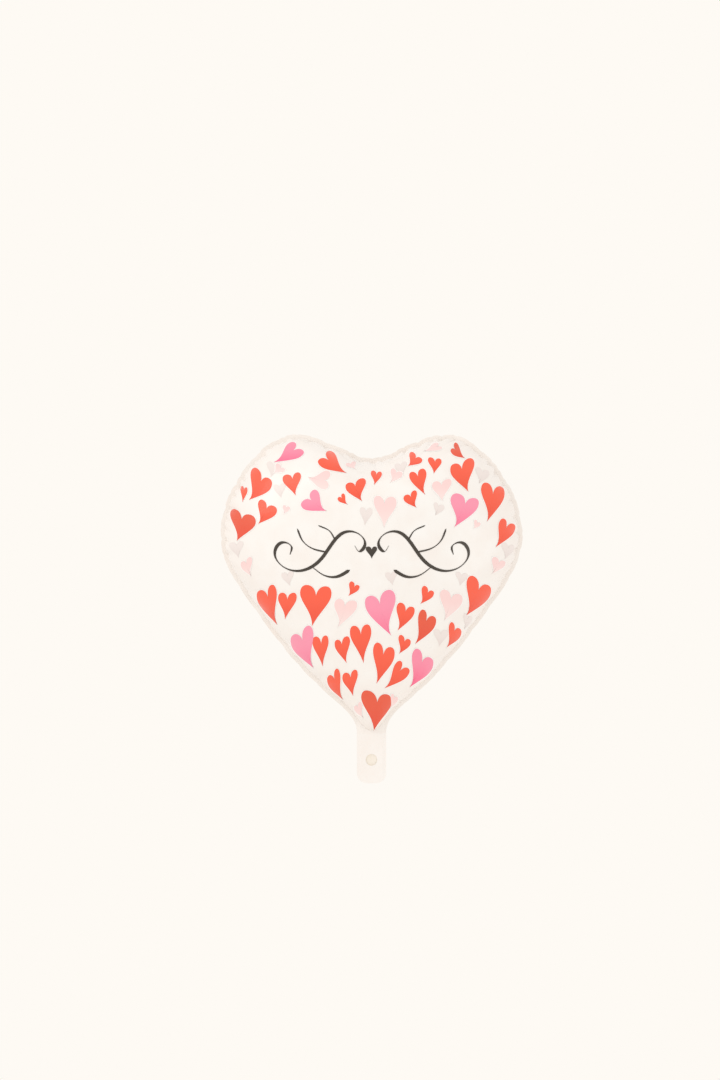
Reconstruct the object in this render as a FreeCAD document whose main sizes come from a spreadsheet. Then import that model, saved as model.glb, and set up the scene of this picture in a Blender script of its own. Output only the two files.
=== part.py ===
"""Heart-shaped foil balloon: the parametric model of its films, seam, filling tail and valve.

Millimetres, +Z up, front towards -Y. The origin is the middle of the crease at the neck, where the
filling tail folds and where a ribbon is tied. Both films meet in the seam plane y = 0.
Every sub-part that lies above the crease belongs to the inflated heart, and every sub-part that
hangs below it belongs to the tail.
"""
import FreeCAD, Part
import math
import os

import Sketcher
from FreeCAD import Vector

SIZES = (
    ("heart_width", 381.0, "across the inflated heart, seam included"),
    ("heart_height", 377.0, "crease to the tops of the lobes"),
    ("heart_depth", 180.0, "front to back at the deepest place"),
    ("side_height", 250.0, "crease to the widest place"),
    ("lobe_spacing", 190.0, "between the tops of the two lobes"),
    ("cleft_drop", 30.0, "tops of the lobes down to the bottom of the cleft"),
    ("shoulder_fullness", 0.67, "how far the shoulder stands out towards its corner, 0 to 1"),
    ("cleft_rounding", 18.0, "half the width of the cleft's rounded bottom"),
    ("cleft_slope", 25.0, "degrees that the lobes rise beside the cleft"),
    ("flank_place", 0.6, "where the flank is fullest, from the flare at 0 to the side at 1"),
    ("flank_bulge", 17.0, "how far the flank stands out there from a straight line"),
    ("flare_width", 102.0, "across the heart where the neck starts to flare"),
    ("flare_height", 46.0, "crease to the start of the flare"),
    ("crown_drop", 80.0, "bottom of the cleft down to the deepest place"),
    ("seam_width", 5.0, "flat heat-sealed border"),
    ("film_thickness", 0.5, "stand-in for a 0.04 film"),
    ("valve_thickness", 0.4, "stand-in for a 0.04 valve film"),
    ("tail_width", 37.0, "across the filling tail"),
    ("tail_length", 62.5, "crease to the end of the tail"),
    ("tail_corner_radius", 13.0, "rounded corners at the end of the tail"),
    ("hole_diameter", 14.5, "inflation hole"),
    ("hole_drop", 33.0, "crease to the middle of the inflation hole"),
    ("valve_rise", 110.0, "crease to the free end of the valve inside the heart"),
    ("valve_clearance", 0.25, "between each side of the valve and the sealed border"),
    ("crease_clearance", 0.8, "gap that lets the tail fold at the crease"),
    ("edge_flat", 0.1, "what the rounding of the tail's upper edge leaves flat"),
)

RIM_COLUMNS = 41        # places along half of the heart's rim where the film's shape is worked out
FILM_ROWS = 13          # places from the ridge of the belly out to the rim
SPINE_POWER = 2.2       # how quickly the ridge point climbs as the rim point climbs
STEADY_CLIMB = 0.1      # share of the climb that is even, so that it never stops
RIDGE_POWER = 0.8       # how the belly deepens from the neck to its deepest place

doc = FreeCAD.newDocument("FoilBalloon")


def make_sheet():
    """The driving dimensions, one row each: alias, value, what it is."""
    sheet = doc.addObject("Spreadsheet::Sheet", "Sizes")
    for row, (alias, value, meaning) in enumerate(SIZES, start=1):
        sheet.set(f"A{row}", alias)
        sheet.set(f"B{row}", str(value))
        sheet.set(f"C{row}", meaning)
        sheet.setAlias(f"B{row}", alias)
    doc.recompute()
    return sheet


sheet = make_sheet()


def size(alias):
    """The value of a driving dimension as a plain number."""
    return float(sheet.get(alias))


# ---- sizes that follow from the driving ones -----------------------------------------------------

SEAM_THICKNESS = size("film_thickness") + size("valve_thickness")
NECK_BOTTOM = SEAM_THICKNESS + size("crease_clearance")
CHANNEL_HALF = size("tail_width") / 2 - size("seam_width")


# ---- the heart's outline in the seam plane -------------------------------------------------------

def seam_edge():
    """Right half of the outer edge of the seam, from the neck up and round to the cleft."""
    neck = Vector(size("tail_width") / 2, 0, NECK_BOTTOM)
    flare = Vector(size("flare_width") / 2, 0, size("flare_height"))
    side = Vector(size("heart_width") / 2, 0, size("side_height"))
    lobe = Vector(size("lobe_spacing") / 2, 0, size("heart_height"))
    cleft = Vector(0, 0, size("heart_height") - size("cleft_drop"))
    chord = side - flare
    outwards = Vector(chord.z, 0, -chord.x).normalize()
    flank = flare + chord * size("flank_place") + outwards * size("flank_bulge")
    rise = size("cleft_rounding") * math.tan(math.radians(size("cleft_slope"))) / 2
    cheek = cleft + Vector(size("cleft_rounding"), 0, rise)
    full = size("shoulder_fullness")
    shoulder = Vector(lobe.x + full * (side.x - lobe.x), 0, side.z + full * (lobe.z - side.z))
    free, up, left = Vector(1, 0, 1), Vector(0, 0, 1), Vector(-1, 0, 0)
    curve = Part.BSplineCurve()
    curve.interpolate(
        Points=[neck, flare, flank, side, shoulder, lobe, cheek, cleft],
        Tangents=[up, free, free, up, free, left, free, left],
        TangentFlags=[True, False, False, True, False, True, False, True])
    return curve


def inwards(curve, parameter):
    """Unit vector across the outline, towards the middle of the heart."""
    along = curve.tangent(parameter)[0]
    return Vector(-along.z, 0, along.x)


def film_line(edge):
    """Right half of the line where the flat seam ends and the film swells.

    It starts at a rounded tip just above the neck and runs beside the seam's edge to the cleft.
    """
    tip = Vector(0, 0, NECK_BOTTOM + size("seam_width"))
    start = edge.parameter(Vector(size("flare_width") / 2, 0, size("flare_height")))
    first = edge.FirstParameter + (start - edge.FirstParameter) / 2
    count = RIM_COLUMNS // 2
    points = [tip]
    for index in range(count):
        parameter = first + (edge.LastParameter - first) * index / (count - 1)
        place = edge.value(parameter)
        points.append(place + inwards(edge, parameter) * size("seam_width"))
    points[-1].x = 0
    curve = Part.BSplineCurve()
    curve.interpolate(Points=points, InitialTangent=Vector(1, 0, 0), FinalTangent=Vector(-1, 0, 0))
    return curve


def closed_wire(half_curve, bottom):
    """The half outline and its mirror image as one closed wire, with a straight foot."""
    half = half_curve.toShape()
    other = half.mirror(Vector(), Vector(1, 0, 0))
    start = half_curve.value(half_curve.FirstParameter)
    foot = Part.LineSegment(start, Vector(-start.x, 0, bottom)).toShape()
    return Part.Wire(Part.__sortEdges__([half, other, foot]))


# ---- the swollen film ----------------------------------------------------------------------------

def swollen_skin(rim):
    """Right half of the outside of the front film as one surface.

    Each place on the rim is joined to its own place on the ridge, which runs up the middle of the
    belly. Between the two the film's depth is a quarter of an ellipse, as deep as the ridge is
    there and square to the seam plane at the rim. Low on the belly the joining line leaves the
    ridge level and bends down afterwards, so that the two halves meet without a crease.
    """
    rim_points = rim.toShape().discretize(Number=RIM_COLUMNS)
    tip, cleft = rim_points[0].z, rim_points[-1].z
    crown = cleft - size("crown_drop")
    ridge_start = tip + CHANNEL_HALF
    grid = []
    for column, rim_point in enumerate(rim_points):
        share = column / (RIM_COLUMNS - 1)
        climb = STEADY_CLIMB * share + (1 - STEADY_CLIMB) * (1 - (1 - share) ** SPINE_POWER)
        ridge = Vector(0, 0, ridge_start + (crown - ridge_start) * climb)
        rise = (ridge.z - tip) / (crown - tip)
        depth = size("heart_depth") / 2 * (1 - (1 - rise) ** 2) ** RIDGE_POWER
        line = []
        for row in range(FILM_ROWS):
            turn = math.pi / 2 * row / (FILM_ROWS - 1)
            out = math.sin(turn)
            height = ridge.z + (rim_point.z - ridge.z) * out ** (2 - climb)
            line.append(Vector(rim_point.x * out, -depth * math.cos(turn), height))
        grid.append(line)
    surface = Part.BSplineSurface()
    surface.interpolate(grid)
    return surface


def inside_of(surface, thickness):
    """The surface that lies a thickness inside a swollen skin, square to it everywhere."""
    first_u, last_u, first_v, last_v = surface.bounds()
    nudge = (last_u - first_u) / 1000
    grid = []
    for column in range(RIM_COLUMNS):
        across = first_u + (last_u - first_u) * column / (RIM_COLUMNS - 1)
        line = []
        for row in range(FILM_ROWS):
            out = first_v + (last_v - first_v) * row / (FILM_ROWS - 1)
            beside = min(max(across, first_u + nudge), last_u - nudge)
            normal = surface.normal(beside, max(out, first_v + nudge))
            if normal.y > 0:
                normal = -normal
            if column in (0, RIM_COLUMNS - 1) or row == 0:
                normal.x = 0
            if row == FILM_ROWS - 1:
                normal.y = 0
            line.append(surface.value(across, out) - normal.normalize() * thickness)
        grid.append(line)
    inner = Part.BSplineSurface()
    inner.interpolate(grid)
    return inner


def swollen_body(surface):
    """The solid under a swollen skin: both halves of the skin and the flat face inside the rim."""
    right = surface.toShape()
    faces = [right, right.mirror(Vector(), Vector(1, 0, 0))]
    rim_edges = [edge for face in faces for edge in face.Edges if edge.BoundBox.YMin > -1e-3]
    faces.append(Part.Face(Part.Wire(Part.__sortEdges__(rim_edges))))
    shell = Part.makeShell(faces)
    shell.sewShape()
    solid = Part.Solid(shell)
    return solid if solid.Volume > 0 else solid.reversed()


def block(half_width, y_from, y_to, z_from, z_to):
    """A box centred on the middle plane x = 0."""
    return Part.makeBox(2 * half_width, y_to - y_from, z_to - z_from, Vector(-half_width, y_from, z_from))


def heart_film():
    """The front film above the crease: a plate as large as the seam's edge, joined to the swollen
    body, less the gas space and the slot for the valve."""
    edge = seam_edge()
    plate = Part.Face(closed_wire(edge, NECK_BOTTOM)).extrude(Vector(0, -SEAM_THICKNESS, 0))
    skin = swollen_skin(film_line(edge))
    gas_space = swollen_body(inside_of(skin, size("film_thickness")))
    slot_top = NECK_BOTTOM + size("seam_width") + CHANNEL_HALF
    slot = block(CHANNEL_HALF, -size("valve_thickness"), 1, NECK_BOTTOM - 1, slot_top)
    film = plate.fuse(swollen_body(skin)).cut(gas_space).cut(slot).removeSplitter()
    if len(film.Solids) != 1:
        raise ValueError("the seam and the swollen film came apart")
    if film.BoundBox.YLength < size("heart_depth") / 2 - size("film_thickness"):
        raise ValueError("the swollen film was lost")
    return film.Solids[0]


# ---- document helpers ----------------------------------------------------------------------------

CHANNEL = "(Sizes.tail_width / 2 - Sizes.seam_width)"
THICKNESS = "(Sizes.film_thickness + Sizes.valve_thickness)"
EDGE_ROUND = "(Sizes.film_thickness + Sizes.valve_thickness - Sizes.edge_flat)"
VALVE_HALF = "(Sizes.tail_width / 2 - Sizes.seam_width - Sizes.valve_clearance)"
CHANNEL_END = "(Sizes.tail_length - Sizes.seam_width)"


def bind(target, expressions):
    """Ties properties of a document object to cells of the sheet."""
    for path, expression in expressions.items():
        target.setExpression(path, expression)


def hold(sketch, name, expression, *constraint):
    """Adds a dimension to a sketch, names it and ties its value to the sheet."""
    index = sketch.addConstraint(Sketcher.Constraint(*constraint))
    sketch.renameConstraint(index, name)
    sketch.setExpression(f"Constraints.{name}", expression)


def seam_plane_sketch(body, name):
    """A sketch in the body's own seam plane: its x runs along +X and its y along +Z."""
    plane = next(item for item in body.Origin.OriginFeatures if item.Role == "XZ_Plane")
    sketch = body.newObject("Sketcher::SketchObject", name)
    sketch.AttachmentSupport = [(plane, "")]
    sketch.MapMode = "FlatFace"
    return sketch


def loop_of_lines(sketch, corners):
    """Straight edges round the given corners, joined end to end. Returns the first one's number."""
    first = sketch.GeometryCount
    ends = corners[1:] + corners[:1]
    for start, end in zip(corners, ends):
        sketch.addGeometry(Part.LineSegment(Vector(*start, 0), Vector(*end, 0)))
    for offset in range(len(corners)):
        following = first + (offset + 1) % len(corners)
        sketch.addConstraint(Sketcher.Constraint("Coincident", first + offset, 2, following, 1))
    return first


# ---- the filling tail ----------------------------------------------------------------------------

def tail_outline(body):
    """Sketch of the tail: straight sides, a straight upper edge and two rounded lower corners."""
    sketch = seam_plane_sketch(body, body.Name + "_outline")
    half, top, bottom, radius = 18.5, 0.8, -62.5, 13.0
    left_centre = Vector(-half + radius, bottom + radius, 0)
    right_centre = Vector(half - radius, bottom + radius, 0)
    up = Vector(0, 0, 1)
    geometry = [
        Part.LineSegment(Vector(half, top, 0), Vector(-half, top, 0)),
        Part.LineSegment(Vector(-half, top, 0), Vector(-half, left_centre.y, 0)),
        Part.ArcOfCircle(Part.Circle(left_centre, up, radius), math.pi, 1.5 * math.pi),
        Part.LineSegment(Vector(left_centre.x, bottom, 0), Vector(right_centre.x, bottom, 0)),
        Part.ArcOfCircle(Part.Circle(right_centre, up, radius), 1.5 * math.pi, 2 * math.pi),
        Part.LineSegment(Vector(half, right_centre.y, 0), Vector(half, top, 0)),
    ]
    sketch.addGeometry(geometry)
    rules = [
        ("Coincident", 0, 2, 1, 1), ("Coincident", 5, 2, 0, 1),
        ("Tangent", 1, 2, 2, 1), ("Tangent", 2, 2, 3, 1),
        ("Tangent", 3, 2, 4, 1), ("Tangent", 4, 2, 5, 1),
        ("Horizontal", 3), ("Vertical", 1), ("Vertical", 5),
        ("Equal", 2, 4), ("Symmetric", 0, 1, 0, 2, -2),
    ]
    for rule in rules:
        sketch.addConstraint(Sketcher.Constraint(*rule))
    hold(sketch, "width", "Sizes.tail_width", "DistanceX", 0, 2, 0, 1, 2 * half)
    hold(sketch, "above", EDGE_ROUND, "DistanceY", -1, 1, 0, 1, top)
    hold(sketch, "below", "Sizes.tail_length", "DistanceY", 3, 1, -1, 1, -bottom)
    hold(sketch, "corner", "Sizes.tail_corner_radius", "Radius", 2, radius)
    return sketch


def channel_outline(body):
    """Sketch of the recess that holds one valve film, open at the tail's upper edge."""
    sketch = seam_plane_sketch(body, body.Name + "_channel")
    half, top, bottom = 13.5, 2.0, -57.5
    corners = [(-half, bottom), (half, bottom), (half, top), (-half, top)]
    first = loop_of_lines(sketch, corners)
    rules = [
        ("Symmetric", first, 1, first, 2, -2), ("Horizontal", first + 2),
        ("Vertical", first + 1), ("Vertical", first + 3),
    ]
    for rule in rules:
        sketch.addConstraint(Sketcher.Constraint(*rule))
    hold(sketch, "width", "2 * " + CHANNEL, "DistanceX", first, 1, first, 2, 2 * half)
    hold(sketch, "below", CHANNEL_END, "DistanceY", first, 1, -1, 1, -bottom)
    hold(sketch, "above", "2 * " + THICKNESS, "DistanceY", -1, 1, first + 1, 2, top)
    return sketch


def inflation_hole(body):
    """Sketch of the round hole that the filling nozzle enters."""
    sketch = seam_plane_sketch(body, body.Name + "_hole")
    sketch.addGeometry(Part.Circle(Vector(0, -33, 0), Vector(0, 0, 1), 7.25))
    sketch.addConstraint(Sketcher.Constraint("PointOnObject", 0, 3, -2))
    hold(sketch, "drop", "Sizes.hole_drop", "DistanceY", 0, 3, -1, 1, 33.0)
    hold(sketch, "diameter", "Sizes.hole_diameter", "Diameter", 0, 14.5)
    return sketch


def outer_upper_edge(shape):
    """Name of the straight edge at the tail's upper end, on the side away from the seam plane."""
    top = shape.BoundBox.ZMax
    for number, edge in enumerate(shape.Edges, start=1):
        box = edge.BoundBox
        away = min(abs(box.YMin), abs(box.YMax))
        if box.ZMin > top - 1e-4 and away > 1e-4 and box.XLength > 1:
            return f"Edge{number}"
    raise ValueError("the tail has no upper edge")


def make_tail_film(name, is_front):
    """One film of the tail: padded from the seam plane, recessed for its valve film."""
    body = doc.addObject("PartDesign::Body", name)
    pad = body.newObject("PartDesign::Pad", name + "_pad")
    pad.Profile = tail_outline(body)
    pad.Reversed = not is_front
    bind(pad, {"Length": THICKNESS})
    doc.recompute()
    fillet = body.newObject("PartDesign::Fillet", name + "_edge")
    fillet.Base = (pad, [outer_upper_edge(pad.Shape)])
    bind(fillet, {"Radius": EDGE_ROUND})
    recess = body.newObject("PartDesign::Pocket", name + "_recess")
    recess.Profile = channel_outline(body)
    recess.Reversed = is_front
    bind(recess, {"Length": "Sizes.valve_thickness"})
    if is_front:
        doc.recompute()
        hole = body.newObject("PartDesign::Pocket", name + "_opening")
        hole.Profile = inflation_hole(body)
        hole.Type = "ThroughAll"
        hole.Reversed = is_front
    return body


# ---- the self-sealing valve ----------------------------------------------------------------------

def make_strip(name, is_front, bottom, top):
    """One flat valve film beside the seam plane, between the heights of two expressions."""
    strip = doc.addObject("Part::Box", name)
    bind(strip, {
        "Length": "2 * " + VALVE_HALF,
        "Width": "Sizes.valve_thickness",
        "Height": f"{top} - ({bottom})",
        "Placement.Base.x": "-" + VALVE_HALF,
        "Placement.Base.y": "-Sizes.valve_thickness" if is_front else "0",
        "Placement.Base.z": bottom,
    })
    return strip


def make_valve_inlet(name, is_front):
    """The part of a valve film inside the tail. The front one is open at the inflation hole."""
    bottom = "-" + CHANNEL_END + " + Sizes.valve_clearance"
    if not is_front:
        return make_strip(name, is_front, bottom, EDGE_ROUND)
    strip = make_strip(name + "_strip", is_front, bottom, EDGE_ROUND)
    punch = doc.addObject("Part::Cylinder", name + "_punch")
    punch.Placement.Rotation = FreeCAD.Rotation(Vector(1, 0, 0), 90)
    bind(punch, {
        "Radius": "Sizes.hole_diameter / 2",
        "Height": "3 * Sizes.valve_thickness",
        "Placement.Base.y": "Sizes.valve_thickness",
        "Placement.Base.z": "-Sizes.hole_drop",
    })
    inlet = doc.addObject("Part::Cut", name)
    inlet.Base = strip
    inlet.Tool = punch
    return inlet


# ---- the document --------------------------------------------------------------------------------

def make_heart_films():
    """The two films of the inflated heart. The back one mirrors the front one."""
    front = doc.addObject("Part::Feature", "front_film")
    front.Shape = heart_film()
    back = doc.addObject("Part::Mirroring", "back_film")
    back.Source = front
    back.Normal = Vector(0, 1, 0)
    return [front, back]


def make_sub_parts():
    """Every node of the balloon, in the order in which it is made up."""
    neck_bottom = THICKNESS + " + Sizes.crease_clearance"
    nodes = make_heart_films()
    nodes += [make_tail_film("tail_front_film", True), make_tail_film("tail_back_film", False)]
    nodes += [
        make_strip("valve_front", True, neck_bottom, "Sizes.valve_rise"),
        make_strip("valve_back", False, neck_bottom, "Sizes.valve_rise"),
        make_valve_inlet("valve_inlet_front", True),
        make_valve_inlet("valve_inlet_back", False),
    ]
    for node in nodes:
        node.Label = node.Name
    return nodes


def check(nodes):
    """Stops the build if anything in the document failed or a sub-part isn't one sound solid."""
    for item in doc.Objects:
        if {"Invalid", "Error"} & set(item.State):
            raise RuntimeError(f"{item.Name} failed: {item.State}")
    for node in nodes:
        shape = node.Shape
        if shape.isNull() or not shape.isValid() or len(shape.Solids) != 1:
            raise RuntimeError(f"{node.Name} is not one sound solid")


def export(nodes):
    """Writes each sub-part to parts/NODE.step."""
    os.makedirs("parts", exist_ok=True)
    for node in nodes:
        node.Shape.exportStep(f"parts/{node.Label}.step")
        box = node.Shape.BoundBox
        print(f"{node.Label}: {node.Shape.Volume:.1f} mm3, "
              f"x {box.XMin:.2f} to {box.XMax:.2f}, y {box.YMin:.2f} to {box.YMax:.2f}, "
              f"z {box.ZMin:.2f} to {box.ZMax:.2f}")


sub_parts = make_sub_parts()
doc.recompute()
check(sub_parts)
export(sub_parts)
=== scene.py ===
# %% [markdown]
# # Heart-shaped foil balloon
#
# A foil balloon is two heart-shaped sheets of thin metal-coated plastic film, welded together in a
# flat seam a few millimetres wide. Gas swells the two films apart, and because film can't stretch,
# the seam line is too long for the swollen shape and gathers into sharp little puckers all round.
# Below the heart the same two films run on as a narrow tail, which holds the filling valve.
#
# The measured frame comes first. It holds every solid piece in its place, and each piece made here
# is fitted over it. Lengths below are in millimetres, and MM turns them into metres.

import math

import bmesh
import bpy
import numpy as np
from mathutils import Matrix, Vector


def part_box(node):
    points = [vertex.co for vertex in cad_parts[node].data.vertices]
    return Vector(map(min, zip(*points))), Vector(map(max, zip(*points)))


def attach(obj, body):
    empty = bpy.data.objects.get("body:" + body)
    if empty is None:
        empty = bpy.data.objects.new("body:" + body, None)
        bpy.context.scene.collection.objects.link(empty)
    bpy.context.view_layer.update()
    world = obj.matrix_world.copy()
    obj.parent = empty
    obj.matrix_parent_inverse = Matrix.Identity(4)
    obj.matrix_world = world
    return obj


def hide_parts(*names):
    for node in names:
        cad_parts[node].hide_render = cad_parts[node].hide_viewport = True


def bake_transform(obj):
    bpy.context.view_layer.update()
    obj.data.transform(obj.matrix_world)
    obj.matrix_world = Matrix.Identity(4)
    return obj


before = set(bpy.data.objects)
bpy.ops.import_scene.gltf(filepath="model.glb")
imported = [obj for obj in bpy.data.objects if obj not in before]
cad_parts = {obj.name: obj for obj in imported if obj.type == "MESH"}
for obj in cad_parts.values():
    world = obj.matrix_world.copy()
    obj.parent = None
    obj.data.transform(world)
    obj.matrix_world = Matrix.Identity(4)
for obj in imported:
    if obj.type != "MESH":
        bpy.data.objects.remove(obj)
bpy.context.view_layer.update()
MM = 0.001

# %% [markdown]
# ## Main sizes
#
# The heart's width, height and depth and the tail's width and length are read from the frame, so
# the looks follow when the solid model is changed. The other sizes shape the outline: where the
# heart is widest, how far apart its lobes are, and how deep the cleft between them is.

# %% Sizes
heart_low, heart_high = (np.array(corner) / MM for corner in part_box("front_film"))
tail_low, tail_high = (np.array(corner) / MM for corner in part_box("tail_front_film"))
HALF_WIDTH, HEART_HEIGHT, HALF_DEPTH = heart_high[0], heart_high[2], -heart_low[1]
TAIL_HALF, TAIL_FOOT = tail_high[0], tail_low[2]
NECK_TOP = heart_low[2]

SIDE_HEIGHT = 250.0
LOBE_X = 95.0
CLEFT_DROP = 30.0
CHEEK_X = 18.0
CHEEK_SLOPE = 25.0
SHOULDER_FULLNESS = 0.67
FLARE_X = 51.0
FLARE_HEIGHT = 46.0
FLANK_PLACE = 0.6
FLANK_BULGE = 17.0
CROWN_DROP = 80.0
SEAM_WIDTH = 5.0
CHANNEL_HALF = 13.5
TAIL_CORNER = 13.0
HOLE_RADIUS = 7.25
HOLE_HEIGHT = -33.0
print(f"heart {2 * HALF_WIDTH:.0f} wide, {HEART_HEIGHT:.0f} high, {2 * HALF_DEPTH:.0f} deep")

# %% [markdown]
# ## The seam's edge
#
# The outline of the welded seam is a smooth curve through a few places: up from the neck, out over
# the flare and the flank to the widest place, round the shoulder to the top of the lobe, and down
# the cheek into the cleft. A cubic spline through them keeps every place adjustable. It is clamped:
# the direction at both ends of each stretch is given.


# %% Curves through a few places
def clamped_spline(places, start, end, count=1200):
    """Cubic spline through places: its slopes solve the rule that curvature is continuous at each
    inner place, and the first and last slopes are the unit vectors start and end."""
    p = np.array(places, float)
    step = np.hypot(*np.diff(p, axis=0).T)
    last = len(p) - 1
    rule, wanted = np.zeros((last + 1, last + 1)), np.zeros((last + 1, 2))
    rule[0, 0] = rule[last, last] = 1
    wanted[0], wanted[last] = start, end
    for i in range(1, last):
        before, after = step[i - 1], step[i]
        rule[i, i - 1:i + 2] = after, 2 * (before + after), before
        wanted[i] = 3 * (after * (p[i] - p[i - 1]) / before + before * (p[i + 1] - p[i]) / after)
    slope = np.linalg.solve(rule, wanted)
    knots = np.append(0, np.cumsum(step))
    s = np.linspace(0, knots[-1], count)
    k = np.clip(np.searchsorted(knots, s, side="right") - 1, 0, last - 1)
    h = step[k][:, None]
    u = (s - knots[k])[:, None] / h
    return ((1 + 2 * u) * (1 - u) ** 2 * p[k] + u * (1 - u) ** 2 * h * slope[k]
            + u ** 2 * (3 - 2 * u) * p[k + 1] + u ** 2 * (u - 1) * h * slope[k + 1])


def length_along(line):
    """Distance of each point of a line from its first point."""
    return np.append(0, np.cumsum(np.linalg.norm(np.diff(line, axis=0), axis=1)))


def at_lengths(line, along, wanted):
    """Points of a line at the wanted values of the measure along it."""
    return np.stack([np.interp(wanted, along, axis) for axis in line.T], axis=1)


def smooth(low, high, value):
    """0 below low, 1 above high, and the smooth step 3t^2 - 2t^3 between."""
    t = np.clip((value - low) / (high - low), 0, 1)
    return t * t * (3 - 2 * t)


# %% Seam edge, right half
def seam_edge():
    """Right half of the seam's outer edge, from the neck up and round to the cleft."""
    neck = np.array([TAIL_HALF, NECK_TOP])
    flare = np.array([FLARE_X, FLARE_HEIGHT])
    side = np.array([HALF_WIDTH, SIDE_HEIGHT])
    lobe = np.array([LOBE_X, HEART_HEIGHT])
    cleft = np.array([0, HEART_HEIGHT - CLEFT_DROP])
    chord = side - flare
    outwards = np.array([chord[1], -chord[0]]) / np.hypot(*chord)
    flank = flare + chord * FLANK_PLACE + outwards * FLANK_BULGE
    shoulder = lobe + (side - lobe) * [SHOULDER_FULLNESS, 1 - SHOULDER_FULLNESS]
    cheek = cleft + [CHEEK_X, CHEEK_X * math.tan(math.radians(CHEEK_SLOPE)) / 2]
    up, left = (0, 1), (-1, 0)
    return np.vstack([
        clamped_spline([neck, flare, flank, side], up, up),
        clamped_spline([side, shoulder, lobe], up, left)[1:],
        clamped_spline([lobe, cheek, cleft], left, left)[1:]])


edge = seam_edge()
print(f"half the seam's edge is {length_along(edge)[-1]:.0f} mm long")

# %% [markdown]
# ## The film line
#
# The film line is where the flat seam ends and the film starts to swell. It lies one seam width
# inside the edge, except at the neck, where it rounds off above the tail. Columns of points, evenly
# spaced along this line, will carry the film. Each column also has a partner on the seam's outer
# edge, and below the rounded tip the partners run along the crease where the tail folds.

# %% Film line and its partners on the edge
TIP_HEIGHT = 4.5
TIP_ROUNDING = 17.5
COLUMNS = 420


def film_line():
    """Film line and outer edge, right half, with the length along the film line.

    Below the rounding's top the inset line is drawn in by a quarter ellipse, so that it closes on
    the middle of the heart."""
    along = np.gradient(edge, axis=0)
    along /= np.linalg.norm(along, axis=1)[:, None]
    inset = edge - SEAM_WIDTH * np.column_stack([along[:, 1], -along[:, 0]])
    keep = inset[:, 1] > TIP_HEIGHT + 0.01
    line, outer = inset[keep], edge[keep]
    low = np.clip((TIP_HEIGHT + TIP_ROUNDING - line[:, 1]) / TIP_ROUNDING, 0, 1)
    low[len(low) // 2:] = 0
    line[:, 0] *= np.sqrt(1 - low ** 2)
    line = np.vstack([[0, TIP_HEIGHT], line])
    line[-1, 0] = 0
    outer = np.vstack([outer[:1], outer])
    measure = length_along(line)
    top = int(np.argmax(line[:, 1] > TIP_HEIGHT + TIP_ROUNDING))
    foot = np.vstack([[0, 0], [TAIL_HALF, 0], edge[edge[:, 1] < outer[top, 1]][:400]])
    reach = length_along(foot)
    outer[:top] = at_lengths(foot, reach, reach[-1] * measure[:top] / measure[top])
    even = np.linspace(0, measure[-1], COLUMNS)
    line, outer = at_lengths(line, measure, even), at_lengths(outer, measure, even)
    corner = int(np.argmin(np.hypot(outer[:, 0] - TAIL_HALF, outer[:, 1])))
    outer[:corner, 1] = 0
    outer[corner] = TAIL_HALF, 0
    return line, outer, even, corner


rim, outer_edge, rim_length, crease_corner = film_line()
HALF_RIM = rim_length[-1]
print(f"{COLUMNS} columns, {HALF_RIM / (COLUMNS - 1):.2f} mm apart, crease corner {crease_corner}")

# %% [markdown]
# ## Puckers
#
# Where the seam is gathered, sharp creases run in from it. On the full curves of the lobes they are
# close together and deep, and on the straighter flanks they are few and shallow. Each crease is a
# formula: a narrow valley with a raised shoulder on both sides, deepest near the seam, widening
# and fading as it runs into the belly. Both films share the places of the creases, because they
# share the seam, but each crease has its own reach and slant in each film.

# %% Where the creases are
seam_random = np.random.default_rng(18)
QUIET_TIP = 30.0
FLANK_STEP, LOBE_STEP = 27, 16
LEAST_GATHER = 0.35


def crease_places():
    """Distances along the whole rim, right side up and left side down, where creases start. The
    step to the next is short where the rim turns quickly, and each step varies by a third."""
    places, here = [], QUIET_TIP
    while here < 2 * HALF_RIM - QUIET_TIP:
        places.append(here)
        height = np.interp(min(here, 2 * HALF_RIM - here), rim_length, rim[:, 1])
        step = FLANK_STEP - (FLANK_STEP - LOBE_STEP) * smooth(170, 300, height)
        here += step * seam_random.uniform(0.68, 1.34)
    return np.array(places)


creases = crease_places()
crease_half = np.minimum(creases, 2 * HALF_RIM - creases)
crease_height = np.interp(crease_half, rim_length, rim[:, 1])
gather = LEAST_GATHER + (1 - LEAST_GATHER) * smooth(170, 290, crease_height)
crease_depth = gather * seam_random.uniform(1.3, 3.3, len(creases))
print(f"{len(creases)} creases round the heart")


# %% Crease shape
LONG_SHARE, LONG_TIMES = 0.22, 1.6
SCALLOP_DEPTH, SCALLOP_LENGTH = 2.3, 43


def crease_field(along, inwards, random):
    """How far the film is drawn in, at each distance along the rim and inwards from it.

    Each crease is depth * fade * (valley - shoulders), where valley is exp(-1.9 |u|^1.15),
    shoulders are small bells at |u| = 1.7, and u is the distance from the crease over its width,
    which grows inwards."""
    drawn = np.zeros_like(along)
    for place, depth, share in zip(creases, crease_depth, gather):
        reach = random.uniform(22, 58) * (0.7 + 0.5 * share)
        if random.random() < LONG_SHARE:
            reach *= LONG_TIMES
        slant = random.normal(0, 0.18)
        width = 2.6 + inwards * random.uniform(0.10, 0.18)
        u = np.mod(along - place + HALF_RIM, 2 * HALF_RIM) - HALF_RIM
        u = np.abs(u - slant * inwards) / width
        valley = np.exp(-1.9 * u ** 1.15) - 0.36 * np.exp(-((u - 1.7) / 0.8) ** 2)
        fade = (0.45 + 0.55 * smooth(0, 7, inwards)) * (1 - smooth(0, reach, inwards))
        drawn += depth * fade * valley
    return drawn


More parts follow.
